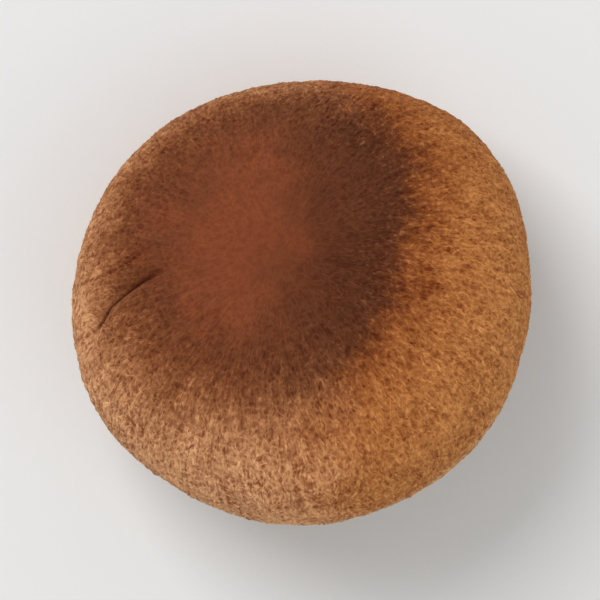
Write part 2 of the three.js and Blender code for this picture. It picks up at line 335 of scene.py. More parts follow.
def gill_heights(azimuth, share):
    """Heights of the gills' edges and of the flesh between them.

    The gills run out to nothing at the lip and are shallower near the stem.
    """
    edge = GILL_EDGE_AT_STEM + (GILL_EDGE_AT_LIP - GILL_EDGE_AT_STEM) * share**GILL_SLOPE
    run_out = np.minimum(1, (1 - share) / 0.2) ** 0.8
    near_stem = 0.55 + 0.45 * np.minimum(1, share / 0.3)
    wave = margin_wave(azimuth) * share**4
    return edge + wave, edge + GILL_DEPTH * run_out * near_stem + wave


def stem_centre(height):
    down = np.maximum(0, (GILL_EDGE_AT_STEM - height) / (GILL_EDGE_AT_STEM + STEM_REACH))
    reach = STEM_BEND * down**1.6
    return reach * math.cos(LEAN_TOWARDS), reach * math.sin(LEAN_TOWARDS)


def stem_radius(azimuth, height):
    flare = STEM_FLARE * np.exp((height - GILL_EDGE_AT_STEM) / STEM_EASE)
    foot = STEM_FOOT * np.exp(-(height + STEM_REACH * STEM_FOOT_AT) / STEM_EASE)
    ribs = ripple(azimuth, STEM_RIBS, np.cos)
    return STEM_RADIUS + np.minimum(flare, STEM_FLARE_MOST) + np.minimum(foot, STEM_FOOT) + ribs


# Where the mushroom stands


LEAN_AXIS = Vector((-math.sin(LEAN_TOWARDS), math.cos(LEAN_TOWARDS), 0))
LEANING = Matrix.Rotation(LEAN, 3, LEAN_AXIS)


def set_down_by():
    """The move, in millimetres, from the leaned mushroom to where the solid stands."""
    azimuth, turn = np.meshgrid(np.linspace(0, TURN, 361), np.linspace(1, -1, 81))
    skin = skin_point(azimuth, turn) @ np.array(LEANING).T
    low, high = skin.reshape(-1, 3).min(axis=0), skin.reshape(-1, 3).max(axis=0)
    move = np.array([(a + b) / 2 / MM for a, b in zip(*NODE_BOX)]) - (low + high) / 2
    move[2] = -low[2] - EDGE_FLAT
    return move


PLACE = set_down_by()


def stand(points):
    """Upright points in millimetres to where they stand, still in millimetres."""
    return points @ np.array(LEANING).T + PLACE


def kept_clear(points):
    """Points where they stand, with any lower ones lifted just clear of the surface."""
    return np.maximum(points, [-np.inf, -np.inf, SURFACE_GAP])


# Meshes


def grid_faces(rows, columns, wrap):
    """Faces of a grid of points, row by row. With wrap, each row closes on itself."""
    across = columns if wrap else columns - 1
    row, column = np.meshgrid(np.arange(rows - 1), np.arange(across), indexing="ij")
    beside = (column + 1) % columns
    here, right = row * columns + column, row * columns + beside
    return np.stack([here, right, right + columns, here + columns], axis=-1).reshape(-1, 4)


def repeated(faces, count, each):
    """The faces of many tufts, from those of one, where a tuft has a number of points each."""
    return (np.arange(count)[:, None, None] * each + faces).reshape(-1, faces.shape[1])


def add_mesh(name, points, faces, material, lids=()):
    """Makes a piece that replaces the solid, from points in millimetres where they stand."""
    mesh = bpy.data.meshes.new(name)
    polygons = [tuple(face) for face in faces.tolist()] + [tuple(lid) for lid in lids]
    mesh.from_pydata((points * MM).tolist(), [], polygons)
    mesh.polygons.foreach_set("use_smooth", [len(p) < 5 for p in polygons])
    mesh.update()
    piece = bpy.data.objects.new(name, mesh)
    bpy.context.scene.collection.objects.link(piece)
    piece.data.materials.append(material)
    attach(piece, "root")
    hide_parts("mushroom")
    return piece


def add_measure(piece, name, values):
    """Gives each point of a piece a number, which its material can read."""
    measure = piece.data.attributes.new(name, "FLOAT", "POINT")
    measure.data.foreach_set("value", values.astype(np.float32))


def add_map(piece, count, places):
    """Lays a piece of many tufts out flat, each in a cell of its own, for the export to bake.

    The places are those of the corners of one tuft's faces, along the tuft and round it.
    """
    places = np.array(places, dtype=float).reshape(-1, 2)
    places = (places - places.min(axis=0)) / np.ptp(places, axis=0)
    inset = CELL_EDGE + (1 - 2 * CELL_EDGE) * places
    side = math.ceil(math.sqrt(count))
    cells = np.stack(np.divmod(np.arange(count), side), axis=-1)
    corners = (cells[:, None, :] + inset) / side
    layer = piece.data.uv_layers.new(name=BAKE_MAP)
    layer.uv.foreach_set("vector", corners.astype(np.float32).reshape(-1))


def grid_normals(points):
    """Unit normals of a grid of points, out of the side where rows then columns turn left."""
    return unit(np.cross(np.gradient(points, axis=0), np.gradient(points, axis=1)))


def disc_grid(side):
    """Azimuth and distance, 0 to 1, of a square grid bent into a disc, with no crowded middle."""
    across, along = np.meshgrid(np.linspace(-1, 1, side), np.linspace(-1, 1, side), indexing="ij")
    wide = np.abs(across) > np.abs(along)
    distance = np.where(wide, across, along)
    with np.errstate(divide="ignore", invalid="ignore"):
        ratio = np.where(wide, along / across, across / along)
    ratio = np.nan_to_num(ratio)
    azimuth = np.where(wide, math.pi / 4 * ratio, math.pi / 2 - math.pi / 4 * ratio)
    azimuth = np.where(distance < 0, azimuth + math.pi, azimuth)
    return azimuth % TURN, np.abs(distance)


def border_of(side):
    """The points round the edge of a square grid, in order."""
    index = np.arange(side * side).reshape(side, side)
    return np.concatenate([index[:-1, 0], index[-1, :-1], index[:0:-1, -1], index[0, :0:-1]])


# The cap's skin


def cap_surface(azimuth, stage):
    """The whole cap: stage runs 0 to 1 down the crown, to 2 round the margin, to 3 up the lip."""
    skin = skin_point(azimuth, np.where(stage < 1, 1 - stage, 1 - np.minimum(stage, 2)))
    lip = lip_point(azimuth, np.clip(stage - 2, 0, 1))
    return np.where((stage <= 2)[..., None], skin, lip)


def stage_by_length():
    """Stages of the cap's profile, and the share of its length that lies before each."""
    stage = np.linspace(0, 3, 1201)
    profile = cap_surface(np.full(stage.shape, math.radians(300)), stage)
    length = np.concatenate([[0], np.cumsum(np.linalg.norm(np.diff(profile, axis=0), axis=1))])
    return stage, length / length[-1]


def wrinkled(points):
    """How near a point is to the fainter wrinkle beside the fold, from 0 to 1."""
    x, y = points[..., 0] - WRINKLE_X, points[..., 1] - WRINKLE_Y
    distance = y - WRINKLE_SLOPE * x + 0.5 * noise(points, size=2.5, seed=61)
    return np.exp(-((distance / WRINKLE_WIDTH) ** 2)) * np.exp(-((x / WRINKLE_REACH) ** 2))


def off_disc(x, y):
    """Distance from the middle of the cap's dark disc: 1 at its edge."""
    return np.hypot((x - DISC_X) / DISC_WIDE, (y - DISC_Y) / DISC_LONG)


def skin_texture(points, azimuth, stage):
    """Fine relief of the cap's skin along its normal, in millimetres."""
    margin = smooth(0.45, 1.1, stage)
    rolling = 0.16 * layered(points, size=11.0, seed=11)
    pits = 0.10 * layered(points, size=3.6, seed=23)
    radial = polar(CAP_RADIUS / 0.9, azimuth, stage * 9)
    fibrils = 0.055 * noise(radial, size=1.0, seed=31) * margin
    suede = (0.035 + 0.05 * margin) * layered(points, size=0.9, seed=47, layers=2)
    flakes = 0.16 * margin * smooth(0.42, 0.75, noise(points * [1, 1, 0.7], size=1.5, seed=59))
    return rolling + pits + fibrils + suede + flakes - WRINKLE_DEPTH * wrinkled(points)


def cap_underside(azimuth, border, first):
    """The cap's hidden underside: rings from the grid's border up behind the gills and in."""
    rings = []
    faces = []
    above = border
    for number, share in enumerate(UNDERSIDE_RINGS):
        _, flesh = gill_heights(azimuth, np.full(azimuth.shape, share))
        rings.append(polar(gill_reach(azimuth, share), azimuth, flesh + UNDERSIDE))
        below = first + number * len(border) + np.arange(len(border))
        faces.append(np.stack([above, below, np.roll(below, -1), np.roll(above, -1)], axis=-1))
        above = below
    return np.concatenate(rings), np.concatenate(faces), above.tolist()


def make_cap(material):
    azimuth, distance = disc_grid(CAP_GRID)
    stages, lengths = stage_by_length()
    stage = np.interp(distance, lengths, stages)
    skin = cap_surface(azimuth, stage)
    fine = skin_texture(skin, azimuth, stage) * smooth(2.9, 2.2, stage)
    # Painted shade along the bottom of the fold and in the fainter wrinkle beside it
    crease_shade = (creased(skin[..., 0], skin[..., 1]) + WRINKLE_SHADE * wrinkled(skin)) * (stage < 1)
    skin = (skin + grid_normals(skin) * fine[..., None]).reshape(-1, 3)
    border = border_of(CAP_GRID)
    under, under_faces, lid = cap_underside(azimuth.reshape(-1)[border], border, len(skin))
    faces = np.concatenate([grid_faces(CAP_GRID, CAP_GRID, wrap=False), under_faces])
    points = kept_clear(stand(np.concatenate([skin, under])))
    cap = add_mesh("cap", points, faces, material, lids=[lid])
    hidden = len(under)
    inside = smooth(1.8, 2.5, stage)
    add_measure(cap, "crease_shade", np.concatenate([crease_shade.reshape(-1), np.zeros(hidden)]))
    # The relief's height, which the material turns into painted shade in the pits and grooves and
    # painted light on the raised nap
    add_measure(cap, "fine", np.concatenate([fine.reshape(-1), np.zeros(hidden)]))
    add_measure(cap, "inside", np.concatenate([inside.reshape(-1), np.ones(hidden)]))


# The nap


def skin_frame(azimuth, stage):
    """Points on the finished skin, and directions down the cap, round it and out of it.

    The last is a unit direction, and the other two are as long as the way for 1 of stage or azimuth.
    """
    step = 0.004
    point = cap_surface(azimuth, stage)
    down = cap_surface(azimuth, stage + step) - point
    sideways = cap_surface(azimuth + step, stage) - point
    outward = unit(np.cross(down, sideways))
    point = point + outward * skin_texture(point, azimuth, stage)[..., None]
    return point, down / step, sideways / step, outward


def nap_roots(rng):
    """Azimuth and stage of each tuft, crowded towards the margin and kept off the dark disc."""
    stages, lengths = stage_by_length()
    azimuth = rng.uniform(0, TURN, NAP_TRIES * NAP_TUFTS)
    stage = np.interp(np.sqrt(rng.uniform(0, 1, azimuth.shape)), lengths, stages)
    x, y, _ = np.moveaxis(cap_surface(azimuth, stage), -1, 0)
    crowding = smooth(0.55, 1.25, off_disc(x, y)) * smooth(2.5, 2.0, stage)
    clumps = 0.6 + 0.8 * noise(polar(CAP_RADIUS / 2.2, azimuth, stage * 8), size=1.0, seed=41)
    chosen = rng.uniform(0, 1, azimuth.shape) < crowding * clumps
    chosen &= near_fold(x, y)[0] > FOLD_CLEARANCE
    kept = np.flatnonzero(chosen)[:NAP_TUFTS]
    return azimuth[kept], stage[kept]


def nap_tuft_faces():
    """The faces of one tuft, and the place of each corner along it and round it.

    A tuft's points are its root, two rings of three and its tip, in that order.
    """
    corners = []
    for k in range(3):
        beyond = (k + 1) % 3
        root, tip = (0, 0, k + 0.5), (7, 3, k + 0.5)
        near, near_beyond = (1 + k, 1, k), (1 + beyond, 1, k + 1)
        far, far_beyond = (4 + k, 2, k), (4 + beyond, 2, k + 1)
        corners += [root, near_beyond, near]
        corners += [near, near_beyond, far_beyond]
        corners += [near, far_beyond, far]
        corners += [tip, far, far_beyond]
    corners = np.array(corners)
    return corners[:, 0].astype(int).reshape(-1, 3), corners[:, 1:]


def nap_points(rng, azimuth, stage):
    """The points of each tuft, and which way the shading of each faces."""
    count = len(azimuth)
    _, down, sideways, _ = skin_frame(azimuth, stage)
    length = rng.uniform(*NAP_LENGTH, count)
    heading = rng.normal(0, NAP_HEADING, count)
    curl = rng.normal(0, NAP_CURL, count)
    half_width = rng.uniform(*NAP_HALF_WIDTH, count)
    thickness = NAP_SINK + half_width * rng.uniform(*NAP_PLUMPNESS, count)
    points = []
    facing = []
    for station in NAP_STATIONS:
        turned = heading + curl * station
        down_by = length * station * np.cos(turned) / np.linalg.norm(down, axis=-1)
        round_by = length * station * np.sin(turned) / np.linalg.norm(sideways, axis=-1)
        place, along, around, outward = skin_frame(azimuth + round_by, stage + down_by)
        if station in (NAP_STATIONS[0], NAP_STATIONS[-1]):
            lift = NAP_TIP * thickness * (station > 0) - NAP_SINK
            points.append(place + outward * lift[:, None])
            facing.append(outward)
        else:
            pointing = unit(along) * np.cos(turned)[:, None] + unit(around) * np.sin(turned)[:, None]
            across = np.cross(outward, pointing)
            beside = across * half_width[:, None]
            low = place - outward * NAP_SINK
            points += [low + beside, place + outward * thickness[:, None], low - beside]
            facing += [outward + NAP_ROUNDING * across, outward, outward - NAP_ROUNDING * across]
    return np.stack(points, axis=1), np.stack(facing, axis=1)


def make_nap(material):
    """The suede nap: short flat tufts of fibre that lie outwards on the skin."""
    rng = np.random.default_rng(31)
    azimuth, stage = nap_roots(rng)
    points, facing = nap_points(rng, azimuth, stage)
    lightness = rng.uniform(*NAP_LIGHTNESS, len(azimuth))
    count, each = points.shape[:2]
    one, places = nap_tuft_faces()
    placed = kept_clear(stand(points.reshape(-1, 3)))
    nap = add_mesh("nap", placed, repeated(one, count, each), material)
    # A tuft is shaded nearly as the skin that it lies on, so its thin edges don't show dark.
    facing = facing.reshape(-1, 3) @ np.array(LEANING).T
    nap.data.normals_split_custom_set_from_vertices(facing.tolist())
    add_map(nap, count, places)
    add_measure(nap, "crease_shade", np.zeros(count * each))
    add_measure(nap, "fine", np.repeat(lightness, each))
    add_measure(nap, "inside", np.repeat(smooth(1.8, 2.5, stage), each))


# The gills


def gill_places(rng):
    """Each gill's azimuth, where it ends towards the stem, and its own wave, going round."""
    ends = np.array(GILL_ENDS * GILL_GROUPS)
    count = len(ends)
    ends = ends + np.where(ends > 0, rng.uniform(-END_JITTER, END_JITTER, count), 0)
    azimuth = (np.arange(count) + rng.uniform(-GILL_JITTER, GILL_JITTER, count)) / count * TURN
    return azimuth, ends, rng.uniform(0, TURN, count)


def gill_rings(rng):
    """Angles and heights of the gills' sections, ring by ring from the lip to the stem."""
    azimuth, ends, phase = gill_places(rng)
    azimuth = azimuth[None, :]
    share = (1 - np.linspace(1, 0, GILL_RINGS) ** GILL_CROWDING)[::-1][:, None]
    reach = gill_reach(azimuth, share)
    here = smooth(ends - 0.02, ends + 0.07, share)
    swaying = noise(polar(9, azimuth, share * 9), size=2.0, seed=71) * np.sin(math.pi * share)
    wave = GILL_WAVE / reach * np.sin(share * GILL_WAVE_TURNS + phase)
    centre = azimuth + GILL_SWAY * swaying + wave
    thinned = GILL_SUNK + (1 - GILL_SUNK) * here
    foot = GILL_HALF_FOOT / reach * thinned
    edge_half = GILL_HALF_EDGE / reach * thinned
    edge, flesh = gill_heights(azimuth, share)
    nicks = noise(polar(60, azimuth, share * 60), size=1.6, seed=83) * here * smooth(0, 0.1, share)
    lowest = flesh + (edge - flesh) * here + GILL_NICK * nicks
    step = EDGE_ROUND * here
    section = [
        (-foot, flesh),
        (-edge_half * SHOULDER_WIDTH, lowest + 3 * step),
        (-edge_half, lowest + step),
        (0 * foot, lowest),
        (edge_half, lowest + step),
        (edge_half * SHOULDER_WIDTH, lowest + 3 * step),
        (foot, flesh),
    ]
    angle = np.stack([centre + offset for offset, _ in section], axis=-1)
    height = np.stack([np.minimum(level, flesh) for _, level in section], axis=-1)
    radius = np.repeat(reach, len(section), axis=1)
    return radius, angle.reshape(GILL_RINGS, -1), height.reshape(GILL_RINGS, -1)


def make_gills(material):
    radius, angle, height = gill_rings(np.random.default_rng(5))
    under = polar(radius, angle, height)
    top_angle = angle[-1][None, :]
    top_share = np.array(TOP_RINGS)[:, None]
    _, top_flesh = gill_heights(top_angle, top_share)
    top = polar(gill_reach(top_angle, top_share), top_angle, top_flesh + 2 * UNDERSIDE)
    grid = np.concatenate([under, top])
    rows, columns = grid.shape[:2]
    faces = grid_faces(rows + 1, columns, wrap=True) % (rows * columns)
    add_mesh("gills", stand(grid.reshape(-1, 3)), faces[:, ::-1], material)


# The stem


def stem_texture(azimuth, height):
    """Fine relief of the stem's side, fibrous along it, in millimetres."""
    fibres = 0.14 * noise(polar(STEM_RADIUS / 0.75, azimuth, height / 9), size=1.0, seed=89)
    finer = 0.07 * noise(polar(STEM_RADIUS / 0.34, azimuth, height / 3.2), size=1.0, seed=91)
    place = polar(STEM_RADIUS, azimuth, height)
    lumps = 0.2 * noise(place, size=5.0, seed=95)
    wool = 0.05 * noise(place, size=0.8, seed=97)
    return fibres + finer + lumps + wool


def textured_stem(azimuth, height):
    x, y = stem_centre(height)
    out = stem_radius(azimuth, height) + stem_texture(azimuth, height)
    return np.stack([x + out * np.cos(azimuth), y + out * np.sin(azimuth), height], axis=-1)


def cut_height(azimuth):
    """The height, in the upright frame, at which each side of the stem meets the surface."""
    low = np.full(azimuth.shape, -STEM_REACH)
    high = np.full(azimuth.shape, 0.0)
    for _ in range(HALVINGS):
        middle = (low + high) / 2
        above = stand(textured_stem(azimuth, middle))[:, 2] > 0
        high = np.where(above, middle, high)
        low = np.where(above, low, middle)
    return high


def cut_end(rim):
    """Rings of the trimmed end, from its rim in. It has dried a little, and its middle draws in."""
    middle = rim.mean(axis=0)
    inward = np.linspace(1, 0, CUT_RINGS)[1:-1, None, None]
    cut = middle + (rim - middle) * inward
    drawn_in = smooth(1.0, 0.5, inward[..., 0]) * (1 + 0.5 * noise(cut, size=2.2, seed=103))
    roughness = CUT_ROUGHNESS * noise(cut, size=0.7, seed=105) ** 2
    cut[..., 2] = CUT_HOLLOW * drawn_in + roughness
    return cut, middle + [0, 0, CUT_HOLLOW]


def make_stem(material):
    azimuth = np.linspace(0, TURN, STEM_SIDES, endpoint=False)
    share = np.linspace(0, 1, STEM_RINGS)[:, None]
    height = STEM_TOP + (cut_height(azimuth)[None, :] - STEM_TOP) * share
    side = stand(textured_stem(np.broadcast_to(azimuth, height.shape), height).reshape(-1, 3))
    side = side.reshape(STEM_RINGS, STEM_SIDES, 3)
    cut, hub_place = cut_end(side[-1])
    rings = np.concatenate([side, cut])
    points = np.concatenate([rings.reshape(-1, 3), [side[0].mean(axis=0), hub_place]])
    faces = grid_faces(len(rings), STEM_SIDES, wrap=True)[:, ::-1]
    last = (len(rings) - 1) * STEM_SIDES
    pole, hub = len(points) - 2, len(points) - 1
    pairs = [(k, (k + 1) % STEM_SIDES) for k in range(STEM_SIDES)]
    lids = [(here, beside, pole) for here, beside in pairs]
    lids += [(last + beside, last + here, hub) for here, beside in pairs]
    add_mesh("stem", kept_clear(points), faces, material, lids)


# The veil


def veil_tuft(rng):
    """The points of one tuft, in rings of four from its root to its tip."""
    azimuth = rng.uniform(0, TURN)
    root = lip_point(np.array(azimuth), np.array(rng.uniform(*VEIL_ROOTS)))
    inward = np.array([-math.cos(azimuth), -math.sin(azimuth), 0])
    beside = np.array([-math.sin(azimuth), math.cos(azimuth), 0])
    heading = inward * rng.uniform(*VEIL_INWARD) + beside * rng.uniform(*VEIL_SIDEWAYS)
    heading[2] = rng.uniform(*VEIL_UPWARD)
    heading = heading / np.linalg.norm(heading)
    length = rng.uniform(*VEIL_LENGTH) * (1 + 0.5 * noise(root, size=6, seed=7))
    half_width = rng.uniform(*VEIL_HALF_WIDTH)
    curl = rng.uniform(*VEIL_CURL)
    across = np.cross(heading, [0, 0, 1.0])
    points = []
    for along in np.linspace(0, 1, VEIL_STEPS):
        taper = half_width * (1 - VEIL_TAPER * along)
        middle = root - heading * VEIL_SINK + heading * length * along
        middle = middle + beside * curl * along**2 + np.array([0, 0, VEIL_SINK * curl * along**2])
        up = np.array([0, 0, VEIL_FLATNESS * taper])
        points += [middle - across * taper, middle - up, middle + across * taper, middle + up]
    return points


def veil_tuft_faces():
    """The faces of one closed tuft, and the place of each corner along it and round it."""
    faces = []
    places = []
    last = VEIL_STEPS - 1
    for step, k in itertools.product(range(last), range(VEIL_SIDES)):
        here, beyond = VEIL_SIDES * step, (k + 1) % VEIL_SIDES
        there = here + VEIL_SIDES
        faces.append((here + k, here + beyond, there + beyond, there + k))
        places.append(((step, k), (step, k + 1), (step + 1, k + 1), (step + 1, k)))
    root = range(VEIL_SIDES)
    faces += [tuple(reversed(root)), tuple(VEIL_SIDES * last + k for k in root)]
    for start in (-0.5, last):
        end = start + 0.5
        places.append(((start, 0), (start, VEIL_SIDES), (end, VEIL_SIDES), (end, 0)))
    return np.array(faces), places


def make_veil(material):
    """The cottony remains of the veil: small flat tufts that hang from the lip over the gills."""
    rng = np.random.default_rng(12)
    points = np.array([veil_tuft(rng) for _ in range(VEIL_TUFTS)])
    one, places = veil_tuft_faces()
    faces = repeated(one, VEIL_TUFTS, VEIL_SIDES * VEIL_STEPS)
    veil = add_mesh("veil", kept_clear(stand(points.reshape(-1, 3))), faces, material)
    add_map(veil, VEIL_TUFTS, places)


# Materials, with colours as the eye sees them, from 0 to 255


# From the middle of the cap's disc, 0, past its edge, 0.5, to the margin, 1
TAN_SIDE = (
    (0.0, (112, 60, 36)),
    (0.38, (107, 57, 32)),
    (0.5, (112, 61, 33)),
    (0.6, (150, 91, 54)),
    (0.74, (198, 140, 97)),
    (1.0, (214, 157, 113)),
)
GOLD_SIDE = (
    (0.0, (108, 56, 34)),
    (0.3, (92, 47, 26)),
    (0.53, (84, 44, 25)),
    (0.6, (105, 54, 26)),
    (0.665, (139, 75, 34)),
    (0.77, (167, 100, 50)),
    (1.0, (190, 124, 69)),
)
DISC_RED = (131, 67, 39)
ROLLED_EDGE = (210, 172, 126)
PALE_NAP = (222, 154, 114)
# Painted shade deep in the crease at the bottom of the fold
PAINTED_CREASE_SHADE = (76, 26, 6)
LIP_CREAM = (222, 196, 158)
FIBRE_AND_RELIEF_SHADE_TINT = (0.8, 1.12, 1.25)  # how much a lighter or darker fibre, or the relief's painted shade and light, changes red, green and blue
DARKEST = -0.6
GILL_NEAR_STEM = (222, 196, 156)
GILL_NEAR_LIP = (234, 214, 180)
GILL_STREAK = (205, 170, 124)
GILL_MARK = (186, 140, 92)
STEM_WHITE = (234, 214, 180)
STEM_TAN = (188, 146, 102)
STEM_BROWN = (170, 126, 84)
FIBRE_DARK = (160, 116, 76)
FIBRE_LIGHT = (244, 230, 204)
VEIL_WHITE = (240, 226, 200)
VEIL_TAN = (208, 172, 128)
FLOOR_GREY = (240, 240, 240)


def srgb(red, green, blue):
    """A colour from 0 to 255 as the eye sees it, as the light that a shader takes."""
    parts = [channel / 255 for channel in (red, green, blue)]
    return tuple(p / 12.92 if p <= 0.04045 else ((p + 0.055) / 1.055) ** 2.4 for p in parts) + (1.0,)


class Nodes:
    """A material's node tree, with a short call for each kind of node that the mushroom needs."""

    def __init__(self, name, roughness, specular, sheen=0.0, subsurface=0.0):
        self.material = bpy.data.materials.new(name)
        self.material.use_nodes = True
        self.tree = self.material.node_tree
        self.shader = self.tree.nodes["Principled BSDF"]
        self.shader.inputs["Roughness"].default_value = roughness
        self.shader.inputs["Specular IOR Level"].default_value = specular
        self.shader.inputs["Sheen Weight"].default_value = sheen
        self.shader.inputs["Sheen Roughness"].default_value = 0.5
        self.shader.inputs["Subsurface Weight"].default_value = subsurface
        self.shader.inputs["Subsurface Radius"].default_value = (1.0, 0.6, 0.35)
        self.shader.inputs["Subsurface Scale"].default_value = 1.2 * MM
        coordinates = self.tree.nodes.new("ShaderNodeTexCoord")
        upright = self.tree.nodes.new("ShaderNodeMapping")
        upright.vector_type = "TEXTURE"
        upright.inputs["Location"].default_value = [value * MM for value in PLACE]
        upright.inputs["Rotation"].default_value = LEANING.to_euler()
        upright.inputs["Scale"].default_value = (MM, MM, MM)
        self.tree.links.new(coordinates.outputs["Object"], upright.inputs["Vector"])
        self.upright = upright.outputs["Vector"]
        parts = self.tree.nodes.new("ShaderNodeSeparateXYZ")
        self.tree.links.new(self.upright, parts.inputs[0])
        self.x, self.y, self.z = parts.outputs

    def put(self, value, socket):
        if isinstance(value, bpy.types.NodeSocket):
            self.tree.links.new(value, socket)
        else:
            socket.default_value = value

    def math(self, operation, first, second=0.0):
        made = self.tree.nodes.new("ShaderNodeMath")
        made.operation = operation
        self.put(first, made.inputs[0])
        self.put(second, made.inputs[1])
        return made.outputs[0]

    def total(self, *parts):
        """The sum of values, each given with its weight."""
        weighted = [self.math("MULTIPLY", value, weight) for value, weight in parts]
        result = weighted[0]
        for other in weighted[1:]:
            result = self.math("ADD", result, other)
        return result

    def moved(self, value, uneven, amount):
        """A value moved up and down by noise from 0 to 1, over a range of amount in all."""
        change = self.math("MULTIPLY", self.math("SUBTRACT", uneven, 0.5), amount)
        return self.math("ADD", value, change)

    def distance(self, x, y):
        squares = self.math("ADD", self.math("POWER", x, 2.0), self.math("POWER", y, 2.0))
        return self.math("SQRT", squares)

    def ramp(self, value, low, high, first=0.0, last=1.0):
        """A smooth step of value from first, at low, to last, at high."""
        made = self.tree.nodes.new("ShaderNodeMapRange")
        made.interpolation_type = "SMOOTHSTEP"
        self.put(value, made.inputs["Value"])
        for name, number in zip(("From Min", "From Max", "To Min", "To Max"), (low, high, first, last)):
            made.inputs[name].default_value = number
        return made.outputs["Result"]

    def colours(self, value, stops):
        """A colour for a value from 0 to 1, from stops of (place, colour)."""
        made = self.tree.nodes.new("ShaderNodeValToRGB")
        made.color_ramp.interpolation = "B_SPLINE"
        elements = made.color_ramp.elements
        while len(elements) < len(stops):
            elements.new(0.5)
        for element, (place, colour) in zip(elements, stops):
            element.position = place
            element.color = srgb(*colour)
        self.put(value, made.inputs[0])
        return made.outputs["Color"]

    def mix(self, share, first, second):
        made = self.tree.nodes.new("ShaderNodeMix")
        made.data_type = "RGBA"
        self.put(share, made.inputs["Factor"])
        first_colour, second_colour = made.inputs[6:8]
        self.put(first, first_colour)
        self.put(second, second_colour)
        return made.outputs[2]

    def grain(self, size, detail=3.0, stretch=(1, 1, 1), place=None):
        """Noise from 0 to 1 with features about size millimetres across."""
        stretched = self.tree.nodes.new("ShaderNodeMapping")
        stretched.inputs["Scale"].default_value = [1 / (size * s) for s in stretch]
        self.tree.links.new(place or self.upright, stretched.inputs["Vector"])
        made = self.tree.nodes.new("ShaderNodeTexNoise")
        made.inputs["Scale"].default_value = 1.0
        made.inputs["Detail"].default_value = detail
        made.inputs["Roughness"].default_value = 0.6
        self.tree.links.new(stretched.outputs["Vector"], made.inputs["Vector"])
        return made.outputs[0]

    def measure(self, name):
        """A number that the mesh gives for each of its points."""
        made = self.tree.nodes.new("ShaderNodeAttribute")
        made.attribute_name = name
        return made.outputs["Fac"]

    def shaded(self, colour, shade, tint):
        """A colour made lighter or darker by a share, with a weight for each of its channels."""
        change = self.tree.nodes.new("ShaderNodeVectorMath")
        change.operation = "SCALE"
        change.inputs[0].default_value = tint
        self.put(shade, change.inputs["Scale"])
        made = self.tree.nodes.new("ShaderNodeVectorMath")
        made.operation = "MULTIPLY_ADD"
        for value, socket in zip((colour, change.outputs[0], colour), made.inputs):
            self.put(value, socket)
        return made.outputs[0]

    def round_axis(self, radius):
        """Coordinates round the mushroom's axis, outwards and up, and the distance outwards alone."""
        azimuth = self.math("ARCTAN2", self.y, self.x)
        out = self.distance(self.x, self.y)
        made = self.tree.nodes.new("ShaderNodeCombineXYZ")
        self.put(self.math("MULTIPLY", azimuth, radius), made.inputs[0])
        self.put(out, made.inputs[1])
        self.put(self.z, made.inputs[2])
        return made.outputs[0], out

    def bump(self, height, depth, strength, under=None):
        made = self.tree.nodes.new("ShaderNodeBump")
        made.inputs["Strength"].default_value = strength
        made.inputs["Distance"].default_value = depth * MM
        self.put(height, made.inputs["Height"])
        if under is not None:
            self.put(under, made.inputs["Normal"])
        return made.outputs["Normal"]

    def finish(self, colour, normal):
        self.put(colour, self.shader.inputs["Base Color"])
        self.put(normal, self.shader.inputs["Normal"])
        return self.material


